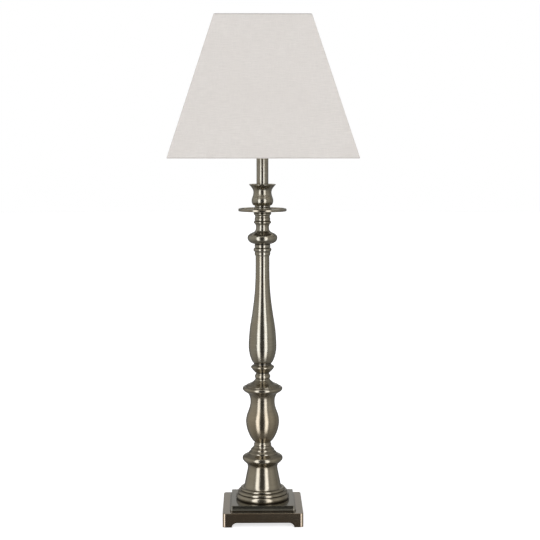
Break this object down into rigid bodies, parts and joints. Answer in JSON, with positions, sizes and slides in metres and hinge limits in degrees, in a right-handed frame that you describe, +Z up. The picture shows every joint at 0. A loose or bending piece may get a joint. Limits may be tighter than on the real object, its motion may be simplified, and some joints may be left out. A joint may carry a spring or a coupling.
{
  "type": "candlestick table lamp",
  "caption": "Tall table lamp with a stepped square base, turned candlestick column with drip pan and candle cup, screw lampholder, and square tapered fabric shade.",
  "frame": {"origin": "on the floor under the centre of the lamp's footprint, which is also the column's axis", "axes": "+Z up along the column's axis, +X to the right and -Y to the front, both square to the base and shade"},
  "size_m": [0.285, 0.285, 0.796],
  "materials": {
    "antique_brass": "satin, lacquered, antiqued, fine circumferential brushing",
    "base_brass": "satin, lacquered, antiqued",
    "plain_steel": "zinc plated",
    "iron": "sawn, lightly oiled",
    "felt": "felt",
    "cover_board": "fine matt grain",
    "bush_plastic": "satin moulded",
    "terminal_plastic": "moulded",
    "lead_sleeve": "smooth",
    "holder_plastic": "moulded",
    "holder_ceramic": "glazed",
    "contact_brass": "bright",
    "bulb_metal": "bright rolled",
    "bulb_black": "black glass",
    "bulb_glass": "clear",
    "filament": "phosphor coated",
    "linen": "plain weave linen",
    "shade_backing": "smooth white",
    "shade_wire": "white epoxy"
  },
  "bodies": {
    "stand": {"base_slab": "base_brass", "bracket_feet": "base_brass", "foot_pads": "felt", "base_step": "base_brass", "ballast_plate": "iron", "bottom_cover": "cover_board", "cover_screws": "plain_steel", "inlet_bush": "bush_plastic", "terminal_block": "terminal_plastic", "terminal_screws": "plain_steel", "threaded_rod": "plain_steel", "clamp_washer": "plain_steel", "lock_washer": "plain_steel", "rod_nut": "plain_steel", "inner_leads": "lead_sleeve", "pedestal": "antique_brass", "lower_torus": "antique_brass", "lower_neck": "antique_brass", "vase": "antique_brass", "vase_rim": "antique_brass", "vase_cap": "antique_brass", "bead_collar": "antique_brass", "ring_collar": "antique_brass", "baluster": "antique_brass", "shaft_collar": "antique_brass", "knop": "antique_brass", "upper_neck": "antique_brass", "pan_seat": "antique_brass", "drip_pan": "antique_brass", "cup_collar": "antique_brass", "candle_cup": "antique_brass", "candle_tube": "antique_brass", "tube_cap": "antique_brass", "holder_cap": "holder_plastic", "holder_barrel": "holder_plastic", "holder_insert": "holder_ceramic", "contact_shell": "contact_brass", "centre_contact": "contact_brass"},
    "switch": {"switch_bar": "holder_plastic"},
    "clamp_ring": {"shade_ring": "holder_plastic"},
    "bulb": {"bulb_contact": "bulb_metal", "bulb_insulator": "bulb_black", "bulb_cap": "bulb_metal", "bulb_globe": "bulb_glass", "bulb_stem": "bulb_glass", "bulb_filaments": "filament", "filament_supports": "plain_steel"},
    "shade": {"shade_panels": "shade_backing", "shade_cover": "linen", "shade_bottom_wire": "shade_wire", "shade_top_wire": "shade_wire", "shade_struts": "shade_wire", "carrier_ring": "shade_wire", "carrier_arms": "shade_wire"}
  },
  "joints": [
    {"name": "shade_turn", "type": "hinge", "parent": "stand", "child": "shade", "pos_m": [0, 0, 0.6376], "axis": [0, 0, 1], "continuous": true},
    {"name": "ring_turn", "type": "hinge", "parent": "stand", "child": "clamp_ring", "pos_m": [0, 0, 0.6436], "axis": [0, 0, 1], "continuous": true},
    {"name": "bulb_turn", "type": "hinge", "parent": "stand", "child": "bulb", "pos_m": [0, 0, 0.655], "axis": [0, 0, 1], "continuous": true},
    {"name": "switch_push", "type": "slide", "parent": "stand", "child": "switch", "axis": [-1, 0, 0], "range_m": [0, 0.0052]}
  ]
}
